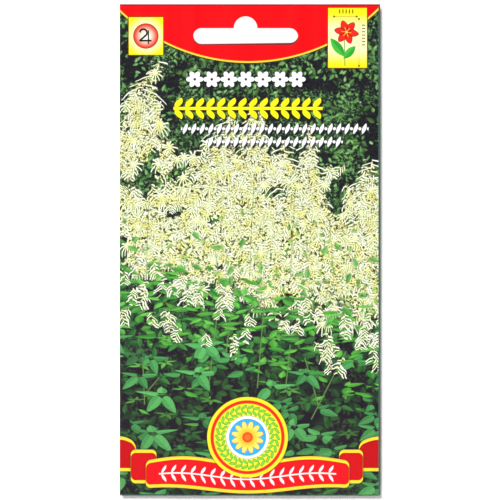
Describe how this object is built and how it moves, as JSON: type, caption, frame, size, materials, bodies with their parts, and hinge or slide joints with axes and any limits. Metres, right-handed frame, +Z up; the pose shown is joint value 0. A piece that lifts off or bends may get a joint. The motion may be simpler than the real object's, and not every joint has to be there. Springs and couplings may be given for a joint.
{
  "type": "seed packet",
  "caption": "Flat printed paper seed packet with a hanging slot in its header, a side seam and a turned-up bottom flap, holding a sealed sachet of fine seed.",
  "frame": {"origin": "top of the hanging slot's round bump, where a peg carries the packet, halfway between the front and back ply", "axes": "+Z up along the packet's height, -Y out of the printed front, +X to the right of someone who looks at the front"},
  "size_m": [0.0795, 0.0025, 0.15],
  "materials": {
    "printed_paper": "coated, printed in full colour, soft gloss",
    "dried_glue": "thin dried line",
    "glassine": "smooth, slightly translucent",
    "brown_seed": "matt"
  },
  "bodies": {
    "root": {"envelope": "printed_paper", "top_seal_glue": "dried_glue", "side_seam_glue": "dried_glue", "bottom_seam_glue": "dried_glue", "sachet_front_film": "glassine", "sachet_back_film": "glassine", "seeds": "brown_seed"}
  },
  "joints": []
}
